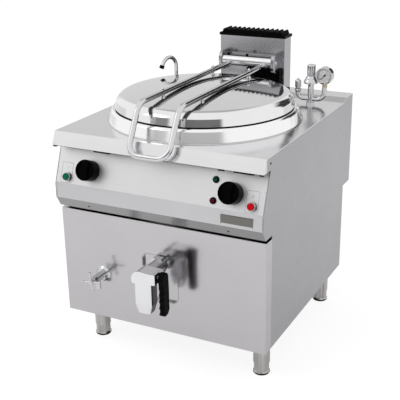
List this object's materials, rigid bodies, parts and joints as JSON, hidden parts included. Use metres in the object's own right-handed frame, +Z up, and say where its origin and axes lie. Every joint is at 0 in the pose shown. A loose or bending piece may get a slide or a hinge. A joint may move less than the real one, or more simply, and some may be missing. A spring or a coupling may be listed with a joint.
{
  "type": "steam jacketed kettle",
  "caption": "Gas heated boiling kettle: a jacketed round vessel in a steel cabinet, with a hinged lid on a tube frame, drain cock, flue, safety group and water spout.",
  "frame": {"origin": "on the floor under the vessel's axis, which is the middle of the bounding box's base", "axes": "+X to the right as the operator faces the controls, +Y to the rear, +Z up"},
  "size_m": [0.8, 1.01, 1.096],
  "materials": {
    "brushed_sheet": "brushed",
    "galvanised": "dull",
    "burner_steel": "dull",
    "black_grate": "satin",
    "polished_lid": "polished",
    "polished_tube": "polished",
    "black_box": "satin",
    "chrome": "polished",
    "pipe_steel": "brushed",
    "brass": "satin",
    "black_plastic": "matt",
    "valve_block": "cast",
    "button_ring": "satin",
    "green_plastic": "gloss",
    "red_plastic": "gloss",
    "green_lens": "gloss",
    "red_lens": "gloss",
    "dial_white": "satin",
    "clear_glass": "clear"
  },
  "bodies": {
    "cabinet": {"base_tray": "galvanised", "side_panel_left": "brushed_sheet", "side_panel_right": "brushed_sheet", "rear_panel": "brushed_sheet", "front_panel": "brushed_sheet", "drain_plate": "brushed_sheet", "control_fascia": "brushed_sheet", "worktop": "brushed_sheet", "inner_vessel": "brushed_sheet", "vessel_floor": "brushed_sheet", "rim_ring": "brushed_sheet", "steam_jacket": "galvanised", "combustion_chamber": "galvanised", "burner": "burner_steel", "flue_duct": "galvanised", "chimney": "brushed_sheet", "flue_grate": "black_grate", "hinge_cheeks": "polished_tube", "hinge_box": "black_box", "hinge_shaft": "polished_tube", "drain_pipe": "pipe_steel", "drain_nut": "chrome", "drain_body": "chrome", "level_tap": "chrome", "group_manifold": "chrome", "safety_valve": "chrome", "vacuum_valve": "chrome", "gauge_nut": "brass", "gauge_case": "chrome", "gauge_dial": "dial_white", "gauge_glass": "clear_glass", "spout_pillar": "chrome", "thermostat": "valve_block", "gas_valve": "valve_block", "green_button_bezel": "button_ring", "red_button_bezel": "button_ring", "lamp_holders": "black_plastic", "red_lamp_lens": "red_lens", "green_lamp_lens": "green_lens", "gas_pipe": "galvanised", "water_pipes": "galvanised", "leg_tubes": "pipe_steel"},
    "lid": {"lid_shell": "polished_lid", "lid_frame": "polished_tube", "lid_bolts": "polished_tube", "hinge_barrel": "polished_tube"},
    "left_knob": {"left_knob": "black_plastic"},
    "right_knob": {"right_knob": "black_plastic"},
    "green_button": {"green_button": "green_plastic"},
    "red_button": {"red_button": "red_plastic"},
    "drain_handle": {"drain_handle": "black_plastic", "drain_spindle": "chrome"},
    "tap_cross": {"tap_cross": "chrome"},
    "water_spout": {"water_spout": "chrome", "spout_aerator": "black_plastic"},
    "gauge_needle": {"gauge_needle": "black_plastic"},
    "foot_front_left": {"foot_front_left": "pipe_steel"},
    "foot_front_right": {"foot_front_right": "pipe_steel"},
    "foot_rear_left": {"foot_rear_left": "pipe_steel"},
    "foot_rear_right": {"foot_rear_right": "pipe_steel"}
  },
  "joints": [
    {"name": "lid_hinge", "type": "hinge", "parent": "cabinet", "child": "lid", "pos_m": [0, 0.39, 0.9795], "axis": [-1, 0, 0], "range_deg": [0, 85]},
    {"name": "left_knob_turn", "type": "hinge", "parent": "cabinet", "child": "left_knob", "pos_m": [-0.261, -0.37229, 0.71935], "axis": [0, -0.9336, 0.3584], "range_deg": [0, 270]},
    {"name": "right_knob_turn", "type": "hinge", "parent": "cabinet", "child": "right_knob", "pos_m": [0.284, -0.37229, 0.71935], "axis": [0, -0.9336, 0.3584], "range_deg": [0, 270]},
    {"name": "green_button_press", "type": "slide", "parent": "cabinet", "child": "green_button", "axis": [0, 0.9336, -0.3584], "range_m": [0, 0.004], "stiffness_N_per_m": 500},
    {"name": "red_button_press", "type": "slide", "parent": "cabinet", "child": "red_button", "axis": [0, 0.9336, -0.3584], "range_m": [0, 0.004], "stiffness_N_per_m": 500},
    {"name": "drain_cock", "type": "hinge", "parent": "cabinet", "child": "drain_handle", "pos_m": [0.06, -0.476, 0.42], "axis": [-1, 0, 0], "range_deg": [0, 90]},
    {"name": "level_tap_turn", "type": "hinge", "parent": "cabinet", "child": "tap_cross", "pos_m": [-0.237, -0.447, 0.328], "axis": [0, -1, 0], "range_deg": [0, 270]},
    {"name": "spout_swivel", "type": "hinge", "parent": "cabinet", "child": "water_spout", "pos_m": [-0.26, 0.267, 0.9], "axis": [0, 0, 1], "range_deg": [-60, 60]},
    {"name": "gauge_needle_turn", "type": "hinge", "parent": "cabinet", "child": "gauge_needle", "pos_m": [0.343, 0.32, 0.9647], "axis": [0, 1, 0], "range_deg": [0, 270], "stiffness_Nm_per_rad": 0.002},
    {"name": "foot_front_left_level", "type": "slide", "parent": "cabinet", "child": "foot_front_left", "axis": [0, 0, 1], "range_m": [-0.03, 0]},
    {"name": "foot_front_right_level", "type": "slide", "parent": "cabinet", "child": "foot_front_right", "axis": [0, 0, 1], "range_m": [-0.03, 0]},
    {"name": "foot_rear_left_level", "type": "slide", "parent": "cabinet", "child": "foot_rear_left", "axis": [0, 0, 1], "range_m": [-0.03, 0]},
    {"name": "foot_rear_right_level", "type": "slide", "parent": "cabinet", "child": "foot_rear_right", "axis": [0, 0, 1], "range_m": [-0.03, 0]}
  ]
}
